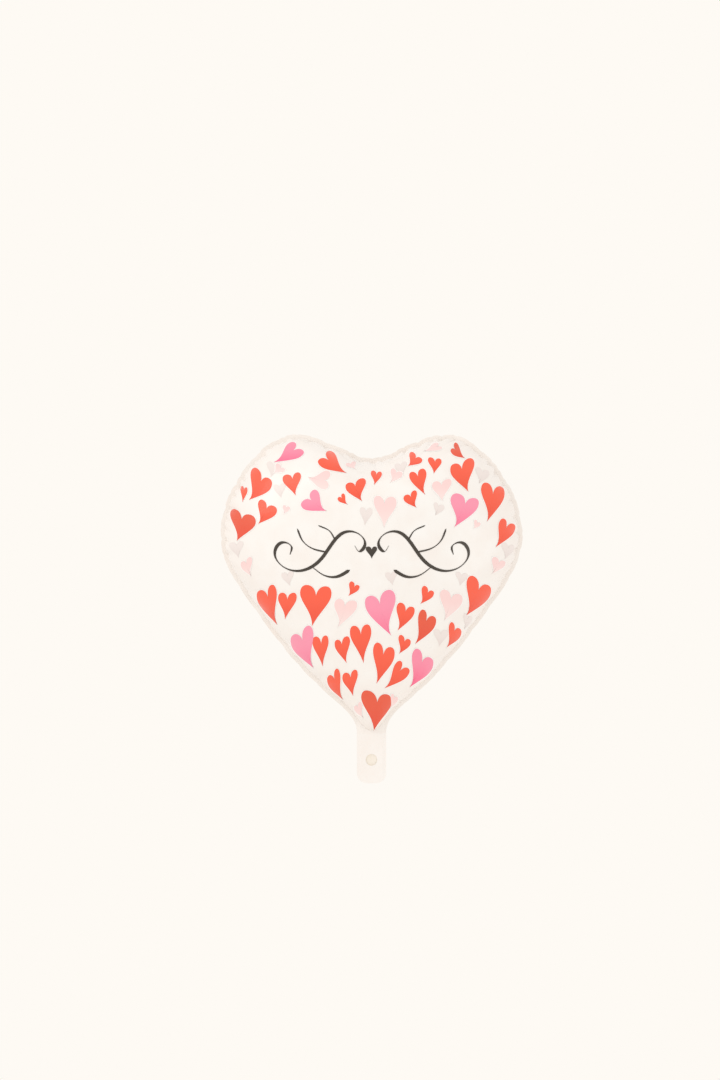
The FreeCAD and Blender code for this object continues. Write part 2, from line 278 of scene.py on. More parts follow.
def scallops(along):
    """Broad bulges of the whole seam between gathered places: 1 - |sin| of an uneven length."""
    half = np.minimum(along, 2 * HALF_RIM - along)
    uneven = along + 9 * np.sin(along / 41) + 5 * np.sin(along / 17 + 2)
    bulge = 1 - np.abs(np.sin(math.pi * uneven / SCALLOP_LENGTH))
    grown = smooth(30, 90, half) * (0.65 + 0.35 * smooth(250, 380, half))
    return SCALLOP_DEPTH * bulge ** 1.5 * grown


def seam_ripple(along):
    """Sideways wave of the flat seam, shared by both films: three sines of unlike lengths."""
    wave = (0.7 * np.sin(along / 9.1) + 0.5 * np.sin(along / 5.3 + 1.1)
            + 0.6 * np.sin(along / 21.0 + 0.4))
    half = np.minimum(along, 2 * HALF_RIM - along)
    return wave * smooth(40, 90, half) * (0.5 + 0.5 * smooth(60, 260, half))


# %% [markdown]
# ## Both films
#
# Seen from the front, each column of the belly leaves a ridge that runs up the middle of the heart
# and ends on the film line. Between them the depth is a quarter of an ellipse, so the film meets
# the seam squarely, as swollen film does. The creases are cut along the film's own normal. Then
# come the flat seam, and below the crease the tail, as rays from the filling hole to its edges.
# The back film is the same sheet turned about, without the hole.

# %% Belly
BELLY_ROWS = 76
SEAM_ROWS = 7
FILM_GAP = 0.12
CHANNEL_RISE = 0.6
STEADY_CLIMB, SPINE_POWER, RIDGE_POWER = 0.1, 2.2, 0.8
ROW_CROWDING = 1.6
SCALLOP_REACH, RIPPLE_REACH = 55, 11
SOFT_DEPTH = 0.55


def whole_rim(half):
    """Right half, then its mirror image back down to the tip, as one closed run of columns."""
    left = half[-2:0:-1].copy()
    left[:, 0] *= -1
    return np.vstack([half, left])


def lift(x, z):
    """Clearance from the seam plane: thin at the seam, more over the valve's channel."""
    channel = 1 - smooth(13.2, 16.8, np.abs(x))
    return FILM_GAP + CHANNEL_RISE * channel * (1 - smooth(22, 70, z))


def belly(random):
    """Swollen part of a film, as rows from the ridge to the film line, facing -Y."""
    line = whole_rim(rim)
    share = rim_length / HALF_RIM
    climb = STEADY_CLIMB * share + (1 - STEADY_CLIMB) * (1 - (1 - share) ** SPINE_POWER)
    tip, crown = rim[0, 1], rim[-1, 1] - CROWN_DROP
    ridge = tip + CHANNEL_HALF + (crown - tip - CHANNEL_HALF) * climb
    depth = HALF_DEPTH * (1 - (1 - (ridge - tip) / (crown - tip)) ** 2) ** RIDGE_POWER
    climb, ridge, depth = (np.append(v, v[-2:0:-1]) for v in (climb, ridge, depth))
    v = np.linspace(0, 1, BELLY_ROWS)[:, None]
    turn = math.pi / 2 * (1 - (1 - v) ** ROW_CROWDING)
    x = line[:, 0] * np.sin(turn)
    y = -depth * np.cos(turn)
    z = ridge + (line[:, 1] - ridge) * np.sin(turn) ** (2 - climb)
    skin = np.stack([x, y, z], axis=2)

    across = np.roll(skin, -1, axis=1) - np.roll(skin, 1, axis=1)
    down = np.gradient(skin, axis=0)
    normal = np.cross(across, down)
    normal[0, :, 0] = 0
    normal[0, [0, COLUMNS - 1]] = normal[0, [1, COLUMNS - 2]]
    normal /= np.linalg.norm(normal, axis=2)[..., None]
    normal *= np.where(normal[..., 1:2].mean() > 0, -1, 1)

    steps = np.linalg.norm(np.diff(skin, axis=0), axis=2)
    inwards = np.vstack([np.cumsum(steps[::-1], axis=0)[::-1], np.zeros((1, len(line)))])
    along = np.append(rim_length, 2 * HALF_RIM - rim_length[-2:0:-1])[None] + 0 * inwards
    quiet = smooth(0.05, 0.35, v) * smooth(18, 60, np.minimum(along, 2 * HALF_RIM - along))
    drawn = crease_field(along, inwards, random) * quiet
    drawn += scallops(along) * (1 - smooth(0, SCALLOP_REACH, inwards)) * quiet
    phase = random.uniform(0, 2 * math.pi, 3)
    soft = (np.sin(x / 31 + phase[0]) * np.sin(z / 27 + phase[1])
            + 0.6 * np.sin((x + z) / 19 + phase[2]) * np.exp(-inwards / 60))
    drawn = drawn + SOFT_DEPTH * soft * smooth(0, 25, inwards) * smooth(30, 110, z)
    skin -= normal * drawn[..., None]
    ripple = seam_ripple(along)
    skin[..., 1] -= lift(skin[..., 0], skin[..., 2])
    skin[..., 1] += ripple * (1 - smooth(0, RIPPLE_REACH, inwards))
    return skin, inwards, drawn[-1], ripple[-1]


# %% Seam band and tail
EDGE_SHARE = 0.75


def seam_band(skin, drawn, ripple):
    """Flat seam from the film line to the outer edge: straight across, with the edge drawn in by
    three quarters of the crease."""
    edge_line = whole_rim(outer_edge)
    outwards = edge_line - whole_rim(rim)
    outwards /= np.linalg.norm(outwards, axis=1)[:, None]
    edge_line = edge_line - outwards * (EDGE_SHARE * drawn)[:, None]
    y = -lift(edge_line[:, 0], edge_line[:, 1]) + ripple
    edge_line = np.column_stack([edge_line[:, 0], y, edge_line[:, 1]])
    u = np.linspace(0, 1, SEAM_ROWS)[:, None, None]
    band = (1 - u) * skin[-1] + u * edge_line
    flat = -lift(band[..., 0], band[..., 2]) + ripple
    band[..., 1] = np.where(u[..., 0] > 0.15, flat, band[..., 1])
    return band


def tail_edge():
    """Closed outline of the tail from the crease's middle down the right side and back up."""
    top = outer_edge[:crease_corner + 1]
    side = np.linspace([TAIL_HALF, 0], [TAIL_HALF, TAIL_FOOT + TAIL_CORNER], 42)[1:]
    turn = np.linspace(0, math.pi / 2, 18)[1:]
    bend = np.column_stack([TAIL_HALF - TAIL_CORNER * (1 - np.cos(turn)),
                            TAIL_FOOT + TAIL_CORNER * (1 - np.sin(turn))])
    foot = np.linspace([TAIL_HALF - TAIL_CORNER, TAIL_FOOT], [0, TAIL_FOOT], 6)[1:]
    return whole_rim(np.vstack([top, side, bend, foot]))


TAIL_ROWS = 24
LIP_HEIGHT, LIP_WIDTH = 0.35, 1.3
outline = tail_edge()


def tail(has_hole):
    """Tail as rays from the filling hole, or from its centre, to the outline."""
    centre = np.array([0, HOLE_HEIGHT])
    ray = outline - centre
    inner = HOLE_RADIUS * ray / np.linalg.norm(ray, axis=1)[:, None] if has_hole else 0 * ray
    u = np.linspace(0, 1, TAIL_ROWS)[:, None, None]
    flat = centre + inner + u * (ray - inner)
    out = np.linalg.norm(flat - centre, axis=2) - HOLE_RADIUS
    below = smooth(2, -7, flat[..., 1] - HOLE_HEIGHT) if has_hole else 0
    lip = LIP_HEIGHT * np.exp(-np.abs(out) / LIP_WIDTH) * below
    return np.stack([flat[..., 0], -lift(flat[..., 0], flat[..., 1]) - lip, flat[..., 1]], axis=2)


# %% [markdown]
# ## From grids to a mesh
#
# Each grid becomes a patch of four-sided faces, and the patches of one film are joined by merging
# the points that they share. Patches that face the wrong way are turned over, so that every face
# points out of the balloon.


# %% Mesh helpers
def grid_faces(rows, columns):
    """Quads of a grid whose columns run round in a ring."""
    row, column = (a.ravel() for a in np.mgrid[:rows - 1, :columns])
    beside = (column + 1) % columns
    corner = row * columns
    return np.stack([corner + column, corner + beside,
                     corner + columns + beside, corner + columns + column], axis=1)


def faces_outwards(points, faces, side):
    """The same faces, each patch turned over if it faces away from side (-1 front, 1 back)."""
    a, b, c, d = (points[faces[:, i]] for i in range(4))
    facing = np.cross(c - a, d - b)[:, 1].sum()
    return faces[:, ::-1] if facing * side < 0 else faces


def new_piece(name, points, faces, values, merge=0.004):
    """Mesh object from points in millimetres, with float or colour values on its points."""
    mesh = bpy.data.meshes.new(name)
    mesh.from_pydata((points * MM).tolist(), [], faces.tolist())
    for title, value in values.items():
        kind = "FLOAT_COLOR" if value.ndim == 2 else "FLOAT"
        layer = mesh.attributes.new(title, kind, "POINT")
        layer.data.foreach_set("color" if value.ndim == 2 else "value", value.ravel())
    work = bmesh.new()
    work.from_mesh(mesh)
    bmesh.ops.remove_doubles(work, verts=work.verts, dist=merge * MM)
    bmesh.ops.dissolve_degenerate(work, dist=merge * MM, edges=work.edges)
    work.to_mesh(mesh)
    work.free()
    mesh.shade_smooth()
    piece = bpy.data.objects.new(name, mesh)
    bpy.context.scene.collection.objects.link(piece)
    print(f"{name}: {len(mesh.vertices)} points, {len(mesh.polygons)} faces")
    return piece


# %% Front and back film
def film(name, side, has_hole, random):
    """One whole film: belly, seam and tail. side is -1 for the front film and 1 for the back."""
    skin, inwards, drawn, ripple = belly(random)
    if side > 0:
        ripple = -ripple
        skin[..., 1] += 2 * ripple * (1 - smooth(0, RIPPLE_REACH, inwards))
    band = seam_band(skin, drawn, ripple)
    leaf = tail(has_hole)
    # Painted shade: a stored value, 1 at the film line and fading over about 38 mm inwards, half on
    # the seam and a little on the tail, that tints the film warmer and darker where the swollen film
    # turns from the light.
    rim_painted_shade = [np.exp(-inwards / 38), np.full(band.shape[:2], 0.5), np.full(leaf.shape[:2], 0.15)]
    weld = [np.zeros(inwards.shape), np.ones(band.shape[:2]),
            smooth(13.0, 14.2, np.abs(leaf[..., 0]))]
    points, faces, start = [], [], 0
    for patch in (skin, band, leaf):
        flat = patch.reshape(-1, 3) * [1, -side, 1]
        quads = grid_faces(*patch.shape[:2])
        points.append(flat)
        faces.append(faces_outwards(flat, quads, side) + start)
        start += len(flat)
    values = {"rim_painted_shade": np.concatenate([v.ravel() for v in rim_painted_shade]),
              "weld": np.concatenate([v.ravel() for v in weld])}
    return new_piece(name, np.vstack(points), np.vstack(faces), values)


front_skin = film("front_film_skin", -1, True, np.random.default_rng(3))
back_skin = film("back_film_skin", 1, False, np.random.default_rng(8))

# %% [markdown]
# ## The print
#
# Little hand-drawn hearts in reds and pinks are scattered over both films, each with a thin
# white margin, and an ink flourish crosses the middle. Print has no thickness of its own, but a
# picture would blur at its edges, so each patch of ink is a thin shape laid on the film. Its outline
# is drawn flat, filled with rings, and dropped on to the film along Y, a fraction of a millimetre
# clear of it. The colours are stored on the points.

# %% Inks
INKS = {
    "red": ((255, 98, 68), (244, 84, 56)),
    "deep": ((238, 92, 62), (238, 80, 54)),
    "pink": ((255, 146, 174), (255, 88, 138)),
    "rose": ((255, 156, 182), (254, 128, 162)),
    "blush": ((255, 222, 220), (255, 234, 231)),
    "pale": ((244, 235, 231), (238, 228, 224)),
    "margin": ((255, 254, 251), (255, 254, 251)),
    "script": ((58, 50, 40), (44, 37, 30)),
}


def linear(colour):
    """Display colour, 0 to 255, as linear light with full cover."""
    c = np.array(colour, float) / 255
    return np.append(np.where(c > 0.04045, ((c + 0.055) / 1.055) ** 2.4, c / 12.92), 1.0)


# %% [markdown]
# Each row below is one heart: its ink, where its tip is, its length, how far apart its two lobes
# are, how far it leans to the right, and how much its right lobe is raised. Whole millimetres and
# degrees are near enough for hand-drawn hearts.

# %% Where the hearts are
HEARTS = [
    ("pink", -122, 341, 37, 15, 58, 13), ("red", -31, 327, 38, 16, -51, -2),
    ("red", -158, 294, 39, 24, 35, 0), ("red", -168, 291, 20, 9, 8, -6),
    ("deep", -171, 243, 37, 25, 13, -5), ("red", -141, 264, 29, 17, 27, -2),
    ("red", -94, 299, 28, 15, -10, 1), ("blush", -79, 322, 27, 15, 100, 1),
    ("rose", -56, 280, 30, 18, -53, -5), ("red", -12, 292, 27, 17, -22, -2),
    ("red", -30, 288, 14, 7, -40, 2), ("red", 3, 312, 18, 9, 12, 3),
    ("blush", 23, 315, 18, 10, 30, 3), ("blush", 15, 259, 39, 18, 1, -3),
    ("red", 45, 336, 18, 12, 43, 4), ("red", 77, 326, 20, 11, 5, -3),
    ("red", 66, 300, 32, 14, -20, -2), ("red", 55, 284, 20, 12, -25, 4),
    ("blush", 87, 292, 26, 16, -2, 10), ("blush", 65, 356, 23, 9, 63, 4),
    ("deep", 129, 346, 28, 12, -52, 3), ("red", 120, 304, 39, 21, -14, 7),
    ("rose", 102, 260, 42, 23, 24, 9), ("red", 146, 267, 48, 27, 16, 6),
    ("red", 154, 235, 37, 15, 29, 2), ("blush", 126, 258, 11, 6, 33, -3),
    ("blush", 150, 202, 21, 12, 30, 6), ("blush", -150, 199, 22, 11, -20, 12),
    ("blush", -109, 276, 11, 6, 19, 2), ("red", -121, 138, 51, 24, -23, -5),
    ("red", -108, 145, 34, 15, 7, 7), ("red", -74, 137, 51, 25, 7, 3),
    ("blush", -42, 136, 36, 18, 17, 10), ("red", -29, 175, 18, 9, 32, 1),
    ("rose", 24, 126, 55, 25, -18, 0), ("red", 32, 132, 34, 15, 21, 0),
    ("red", 60, 165, 22, 11, 32, -2), ("blush", 90, 144, 37, 19, 16, -2),
    ("red", 118, 150, 49, 27, 29, 3), ("rose", -77, 84, 53, 28, -27, -2),
    ("red", -61, 86, 39, 13, -3, 4), ("red", -31, 91, 32, 13, -13, 8),
    ("red", -10, 91, 48, 17, -5, 1), ("red", 6, 65, 50, 18, 12, -8),
    ("red", 34, 103, 22, 11, 22, -8), ("deep", 54, 115, 42, 16, 24, -10),
    ("red", 94, 110, 31, 15, 28, -7), ("red", 16, 59, 39, 14, 40, -5),
    ("pink", 48, 60, 49, 25, 30, 1), ("red", -36, 44, 39, 16, -26, 10),
    ("red", -23, 49, 32, 13, -7, 12), ("deep", 3, 4, 50, 25, 6, -6),
    ("blush", -20, 21, 21, 10, -32, 0), ("blush", 24, 33, 19, 9, 28, 0),
    ("blush", -122, 328, 13, 9, 55, 15), ("blush", -20, 334, 14, 9, -30, -5),
    ("pale", -126, 322, 20, 12, 12, 5), ("pale", -112, 296, 18, 10, -10, 0),
    ("pale", -166, 222, 20, 12, -8, 0), ("pale", 133, 314, 20, 12, 18, 0),
    ("pale", 78, 274, 16, 9, 20, 0), ("pale", 40, 324, 17, 10, -15, 0),
    ("pale", -9, 262, 22, 10, 6, 0), ("pale", 166, 220, 20, 11, 16, 0),
    ("pale", -101, 187, 18, 10, -12, 0), ("pale", 26, 188, 17, 9, -8, 0),
    ("pale", 109, 187, 17, 10, 10, 0), ("pale", 84, 111, 22, 12, 6, 0),
    ("pale", 134, 132, 20, 11, 22, 0),
]
print(len(HEARTS), "hearts on each film")


# %% Heart outline
def bezier(places, count):
    """Cubic curve with the given two ends and two handles."""
    a, b, c, d = np.array(places, float)
    t = np.linspace(0, 1, count)[:, None]
    return a * (1 - t) ** 3 + 3 * b * t * (1 - t) ** 2 + 3 * c * t * t * (1 - t) + d * t ** 3


def half_heart():
    """Right half of a drawn heart: from the notch over a finger-like lobe and down to the tip.
    Across is counted in lobe spacings, and up from 0 at the tip to 1 at the tops of the lobes."""
    return np.vstack([
        bezier([(0, 0.75), (0.05, 0.92), (0.24, 1.0), (0.47, 1.0)], 60),
        bezier([(0.47, 1.0), (0.67, 1.0), (0.78, 0.93), (0.78, 0.81)], 60)[1:],
        bezier([(0.78, 0.81), (0.78, 0.58), (0.16, 0.36), (0, 0)], 120)[1:]])


def heart_outline(tip, length, spread, lean, raised, fullness, count):
    """Closed outline in millimetres. The middle of the heart bows towards the side it leans to,
    so that the tip swings like a brush stroke, and one lobe is fuller than the other."""
    lean, raised = math.radians(lean), math.radians(raised)
    up = np.array([math.sin(lean), math.cos(lean)])
    right = np.array([math.cos(lean - raised), -math.sin(lean - raised)])
    bow = 0.26 * np.clip(math.degrees(lean) / 18, -1, 1)
    halves = []
    for side in (1, -1):
        half = half_heart() * [side * (1 + side * fullness), 1]
        half[:, 0] += bow * np.sin(math.pi * np.clip(half[:, 1], 0, 1)) * (1 - half[:, 1])
        half = np.array(tip) + half[:, :1] * spread * right + half[:, 1:] * length * up
        along = length_along(half)
        halves.append(at_lengths(half, along, np.linspace(0, along[-1], count)))
    sway = bow * math.sin(math.pi * 0.6) * 0.4
    middle = np.array(tip) + sway * spread * right + 0.6 * length * up
    return np.vstack([halves[0][:-1], halves[1][:0:-1]]), middle


# %% Laying ink on the film
upper = rim[np.argmax(rim[:, 0]):]
lower = rim[:np.argmax(rim[:, 1])]
FILM_LINE_MARGIN = 4.8
LEAST_SQUEEZE = 0.7
DROP_FROM = 130.0


def fit_inside(places, line):
    """Moves places as the outline line must move to stay inside the film line. Near the film line
    the film turns away, so a heart there is squeezed: sideways from the edge that faces the
    middle, then down from its tip. What the squeeze can't take up is a plain step."""
    side = np.sign(line[:, 0].mean()) or 1.0
    for axis, sign in ((0, side), (1, 1.0)):
        out, other = sign * line[:, axis], line[:, 1 - axis]
        if axis == 0:
            limit = np.maximum(np.interp(other, lower[:, 1], lower[:, 0]), CHANNEL_HALF)
        else:
            limit = np.interp(np.abs(other), upper[::-1, 0], upper[::-1, 1])
        limit = limit - FILM_LINE_MARGIN
        fixed = out.min()
        share = ((limit - fixed) / np.maximum(out - fixed, 1.0))[out > limit]
        squeeze = max(LEAST_SQUEEZE, share.min()) if len(share) else 1.0
        step = min(0.0, (limit - (fixed + (out - fixed) * squeeze)).min())
        moved = []
        for points in (places, line):
            points = points.copy()
            points[..., axis] = sign * (fixed + (sign * points[..., axis] - fixed) * squeeze + step)
            moved.append(points)
        places, line = moved
    return places


def laid_on(skin, side, places, clear):
    """Flat places dropped along Y on to a film's outside, and raised clear of it in mm."""
    mesh = bpy.data.meshes.new("drop")
    start = np.column_stack([places[:, 0], np.full(len(places), side * DROP_FROM), places[:, 1]])
    mesh.vertices.add(len(places))
    mesh.vertices.foreach_set("co", (start * MM).ravel())
    helper = bpy.data.objects.new("drop", mesh)
    bpy.context.scene.collection.objects.link(helper)
    wrap = helper.modifiers.new("drop", "SHRINKWRAP")
    wrap.target, wrap.wrap_method, wrap.wrap_mode = skin, "PROJECT", "ABOVE_SURFACE"
    wrap.use_project_y = True
    wrap.use_positive_direction, wrap.use_negative_direction = side < 0, side > 0
    wrap.offset = clear * MM
    shown = helper.evaluated_get(bpy.context.evaluated_depsgraph_get())
    landed = np.empty(3 * len(places))
    shown.data.vertices.foreach_get("co", landed)
    bpy.data.objects.remove(helper)
    bpy.data.meshes.remove(mesh)
    landed = landed.reshape(-1, 3) / MM
    missed = (np.abs(landed[:, 1]) > (HALF_DEPTH + DROP_FROM) / 2).sum()
    if missed:
        print(f"{missed} places missed {skin.name}")
    return landed


# %% Hearts as rings of points
MARGIN_WIDTH = 1.1
MARGIN_CLEAR = 0.16
INK_CLEAR = 0.26
SCRIPT_CLEAR = 0.34
MOST_EXTRA_CLEAR = 0.06
print_random = np.random.default_rng(27)


def heart_patches(ink, tip_x, tip_z, length, spread, lean, raised):
    """White margin and ink of one heart, as (rings x points x 2, clearance, colours)."""
    count = int(np.clip(length * 1.15, 18, 54))
    rings = int(np.clip(length / 3.2, 5, 15))
    fullness = print_random.uniform(-0.08, 0.08)
    line, middle = heart_outline((tip_x, tip_z), length, spread, lean, raised, fullness, count)
    line, middle = fit_inside(line, line), fit_inside(middle, line)
    ray = line - middle
    far = np.linalg.norm(ray, axis=1)[:, None]
    u = np.linspace(0, 1, rings)[:, None, None]
    fill = middle + ray * u
    fall = smooth(0.2, 1.0, (middle[1] + length * 0.4 - fill[..., 1]) / length)[..., None]
    top, foot = (linear(c) for c in INKS[ink])
    tone = top + (foot - top) * fall
    if ink == "pale":
        return [(fill, MARGIN_CLEAR, tone)]
    outer = line + ray / far * MARGIN_WIDTH
    edge_ring = np.stack([line - ray / far * 0.2, outer])
    white = np.broadcast_to(linear(INKS["margin"][0]), edge_ring.shape[:2] + (4,))
    return [(edge_ring, MARGIN_CLEAR, white), (fill, INK_CLEAR, tone)]


# %% [markdown]
# The flourish stands in the middle of the heart. It is drawn as a broad-nibbed pen would: each
# stroke is a smooth curve through a few places, and its width follows the angle between the stroke
# and the nib, thin along the nib and thick across it, with tapered ends.

# %% Pen strokes
STROKES = [
    [(21, 237), (16, 230), (9, 236), (14, 250), (32, 254), (50, 238), (66, 217), (88, 206),
     (111, 212), (120, 229), (110, 241), (99, 235), (101, 226)],
    [(56, 229), (72, 233), (86, 244), (92, 258)],
    [(45, 244), (52, 255), (66, 262)],
    [(74, 211), (60, 201), (42, 199), (27, 207)],
]
THIN, THICK, NIB_ANGLE = 1.1, 4.2, 40


def stroke_patch(places, mirrored):
    """One stroke as rows across a path: half the width on each side of the curve."""
    p = np.array(places, float)
    first, final = (p[1] - p[0]), (p[-1] - p[-2])
    line = clamped_spline(p, first / np.hypot(*first), final / np.hypot(*final))
    along = length_along(line)
    line = at_lengths(line, along, np.linspace(0, along[-1], int(along[-1] / 0.9)))
    way = np.gradient(line, axis=0)
    way /= np.linalg.norm(way, axis=1)[:, None]
    nib = np.array([math.cos(math.radians(NIB_ANGLE)), math.sin(math.radians(NIB_ANGLE))])
    across = np.abs(way[:, 0] * nib[1] - way[:, 1] * nib[0])
    ends = np.linspace(0, 1, len(line))
    taper = np.minimum(smooth(0, 0.08, ends), smooth(1, 0.94, ends)) * 0.75 + 0.25
    width = (THIN + (THICK - THIN) * across ** 1.6) * taper
    beside = np.column_stack([-way[:, 1], way[:, 0]])
    u = np.linspace(-0.5, 0.5, 5)[:, None, None]
    patch = line + u * beside * width[:, None]
    return patch * [-1, 1] if mirrored else patch


def strip_faces(rows, columns):
    """Quads of a grid that doesn't close round."""
    faces = grid_faces(rows, columns)
    return faces[(faces[:, 1] - faces[:, 0]) == 1]


# %% Print on each film
def print_on(name, skin, side, hearts):
    """Every patch of ink on one film, as one piece. On the back the picture is turned about.
    Hearts that overlap lie at slightly different clearances, in turns of five."""
    points, faces, colours, start = [], [], [], 0
    extra_clear = np.linspace(0, MOST_EXTRA_CLEAR, 5)
    patches = []
    for number, heart in enumerate(hearts):
        for grid, clear, tone in heart:
            patches.append((grid, clear + extra_clear[number % len(extra_clear)], tone, True))
    for places in STROKES:
        for mirrored in (False, True):
            grid = stroke_patch(places, mirrored)
            tone = np.broadcast_to(linear(INKS["script"][0]), grid.shape[:2] + (4,))
            patches.append((grid, SCRIPT_CLEAR, tone, False))
    for grid, clear, tone, ring in patches:
        laid = laid_on(skin, side, grid.reshape(-1, 2) * [-side, 1], clear)
        quads = (grid_faces if ring else strip_faces)(*grid.shape[:2])
        points.append(laid)
        faces.append(faces_outwards(laid, quads, side) + start)
        colours.append(tone.reshape(-1, 4))
        start += len(laid)
    values = {"ink": np.vstack(colours)}
    return new_piece(name, np.vstack(points), np.vstack(faces), values, merge=0.002)


heart_grids = [heart_patches(*row) for row in HEARTS]
heart_grids.append(heart_patches("script", 0, 221, 15, 9, 0, 0)[1:])
front_print = print_on("front_print", front_skin, -1, heart_grids)
back_print = print_on("back_print", back_skin, 1, heart_grids)

# %% [markdown]
# ## Finishes
#
# The film is white with a pearl sheen: a pale, slightly warm plastic over a metal coat. Handling
# leaves it faintly crinkled, and the crinkle shows through the ink too, so it is a node group that
# both materials use. The group puts out a height for the bump and a haze that shifts the
# tone and the gloss a little from place to place.


# %% Crinkle group
def crinkle_group():
    """Height: two sizes of noise added. Haze: slow noise spread to the full range."""
    group = bpy.data.node_groups.new("film_crinkle", "ShaderNodeTree")
    face = group.interface
    face.new_socket("Vector", in_out="INPUT", socket_type="NodeSocketVector")
    fine = face.new_socket("Fine", in_out="INPUT", socket_type="NodeSocketFloat")
    fine.default_value = 260
    face.new_socket("Height", in_out="OUTPUT", socket_type="NodeSocketFloat")
    face.new_socket("Haze", in_out="OUTPUT", socket_type="NodeSocketFloat")
    node, link = group.nodes.new, group.links.new
    source, sink = node("NodeGroupInput"), node("NodeGroupOutput")
    small, large = node("ShaderNodeTexNoise"), node("ShaderNodeTexNoise")
    small.inputs["Detail"].default_value = 3
    small.inputs["Distortion"].default_value = 0.8
    large.inputs["Scale"].default_value = 34
    large.inputs["Detail"].default_value = 5
    mix, spread = node("ShaderNodeMath"), node("ShaderNodeMapRange")
    mix.operation = "MULTIPLY_ADD"
    mix.inputs[1].default_value = 0.3
    spread.inputs["From Min"].default_value = 0.3
    spread.inputs["From Max"].default_value = 0.7
    link(source.outputs["Vector"], small.inputs["Vector"])
    link(source.outputs["Vector"], large.inputs["Vector"])
    link(source.outputs["Fine"], small.inputs["Scale"])
    link(small.outputs["Fac"], mix.inputs[0])
    link(large.outputs["Fac"], mix.inputs[2])
    link(mix.outputs[0], sink.inputs["Height"])
    link(large.outputs["Fac"], spread.inputs["Value"])
    link(spread.outputs["Result"], sink.inputs["Haze"])
    return group


crinkle = crinkle_group()
print("crinkle group:", [s.name for s in crinkle.interface.items_tree])


# %% Material helpers
def new_material(name):
    """Material with its shader, the object coordinates and the crinkle group in place."""
    material = bpy.data.materials.new(name)
    material.use_nodes = True
    tree = material.node_tree
    shader = tree.nodes["Principled BSDF"]
    place = tree.nodes.new("ShaderNodeTexCoord")
    crinkled = tree.nodes.new("ShaderNodeGroup")
    crinkled.node_tree = crinkle
    tree.links.new(place.outputs["Object"], crinkled.inputs["Vector"])
    return material, tree, shader, place, crinkled


def colour_mix(tree, factor, first, second, mode="MIX"):
    """Mix of two colours by a factor. Each is a socket, or a constant."""
    mix = tree.nodes.new("ShaderNodeMix")
    mix.data_type, mix.blend_type = "RGBA", mode
    sockets = [mix.inputs[0], mix.inputs[6], mix.inputs[7]]
    for socket, value in zip(sockets, (factor, first, second)):
        if isinstance(value, bpy.types.NodeSocket):
            tree.links.new(value, socket)
        else:
            socket.default_value = value
    return mix.outputs[2]


def ranged(tree, value, low, high):
    """A 0 to 1 value spread from low to high."""
    spread = tree.nodes.new("ShaderNodeMapRange")
    spread.inputs["To Min"].default_value = low
    spread.inputs["To Max"].default_value = high
    tree.links.new(value, spread.inputs["Value"])
    return spread.outputs["Result"]


def bump(tree, height, distance, strength, under=None):
    """Bump node over an optional normal that is already bumped."""
    node = tree.nodes.new("ShaderNodeBump")
    node.inputs["Strength"].default_value = strength
    node.inputs["Distance"].default_value = distance
    tree.links.new(height, node.inputs["Height"])
    if under is not None:
        tree.links.new(under, node.inputs["Normal"])
    return node.outputs["Normal"]


# %% [markdown]
# The weld is pressed by a knurled iron, which leaves a fine cross-hatch along the seam and the
# sides of the tail. Two sets of fine diagonal bands, multiplied, give the little diamonds, and the
# weld value stored on the film's points keeps them on the seam.

# %% Pearl film
def pearl_film():
    """White film with painted shade: warmer and darker near the seam, where the swollen film turns
    from the light. Crinkled all over, with the weld's little diamonds.
    """
    material, tree, shader, place, crinkled = new_material("pearl_film")
    near, weld = (tree.nodes.new("ShaderNodeAttribute") for _ in range(2))
    near.attribute_name, weld.attribute_name = "rim_painted_shade", "weld"
    white, rim_shade_tone = linear((253, 252, 249)), linear((248, 239, 232))
    tone = colour_mix(tree, crinkled.outputs["Haze"], white, linear((250, 245, 240)))
    # Painted shade: towards the seam the tone is mixed into a warmer, darker tint by the stored rim
    # value.
    tone = colour_mix(tree, ranged(tree, near.outputs["Fac"], 0.0, 0.75), tone, rim_shade_tone)
    tree.links.new(tone, shader.inputs["Base Color"])
    tree.links.new(ranged(tree, crinkled.outputs["Haze"], 0.24, 0.36), shader.inputs["Roughness"])
    shader.inputs["Coat Weight"].default_value = 0.18
    shader.inputs["Coat Roughness"].default_value = 0.12
    hatch = []
    for turn in (45, -45):
        lean, bands = tree.nodes.new("ShaderNodeMapping"), tree.nodes.new("ShaderNodeTexWave")
        lean.inputs["Rotation"].default_value = (0, math.radians(turn), 0)
        bands.inputs["Scale"].default_value = 230
        tree.links.new(place.outputs["Object"], lean.inputs["Vector"])
        tree.links.new(lean.outputs["Vector"], bands.inputs["Vector"])
        hatch.append(bands.outputs["Fac"])
    diamonds, pressed = (tree.nodes.new("ShaderNodeMath") for _ in range(2))
    diamonds.operation = pressed.operation = "MULTIPLY"
    tree.links.new(hatch[0], diamonds.inputs[0])
    tree.links.new(hatch[1], diamonds.inputs[1])
    tree.links.new(diamonds.outputs[0], pressed.inputs[0])
    tree.links.new(weld.outputs["Fac"], pressed.inputs[1])
    under = bump(tree, crinkled.outputs["Height"], 0.0012, 0.25)
    normal = bump(tree, pressed.outputs[0], 0.00012, 0.5, under)
    tree.links.new(normal, shader.inputs["Normal"])
    return material


# %% Ink and valve film
def print_ink():
    """Colours from the points, a little uneven, as thin ink over pearl film is."""
    material, tree, shader, _, crinkled = new_material("print_ink")
    stored = tree.nodes.new("ShaderNodeAttribute")
    stored.attribute_name = "ink"
    shade = ranged(tree, crinkled.outputs["Haze"], 0.0, 0.12)
    darker = colour_mix(tree, 1.0, stored.outputs["Color"], (0.86, 0.80, 0.80, 1), "MULTIPLY")
    tone = colour_mix(tree, shade, stored.outputs["Color"], darker)
    tree.links.new(tone, shader.inputs["Base Color"])
    tree.links.new(ranged(tree, crinkled.outputs["Haze"], 0.30, 0.42), shader.inputs["Roughness"])
    shader.inputs["Coat Weight"].default_value = 0.2
    tree.links.new(bump(tree, crinkled.outputs["Height"], 0.0012, 0.25), shader.inputs["Normal"])
    return material


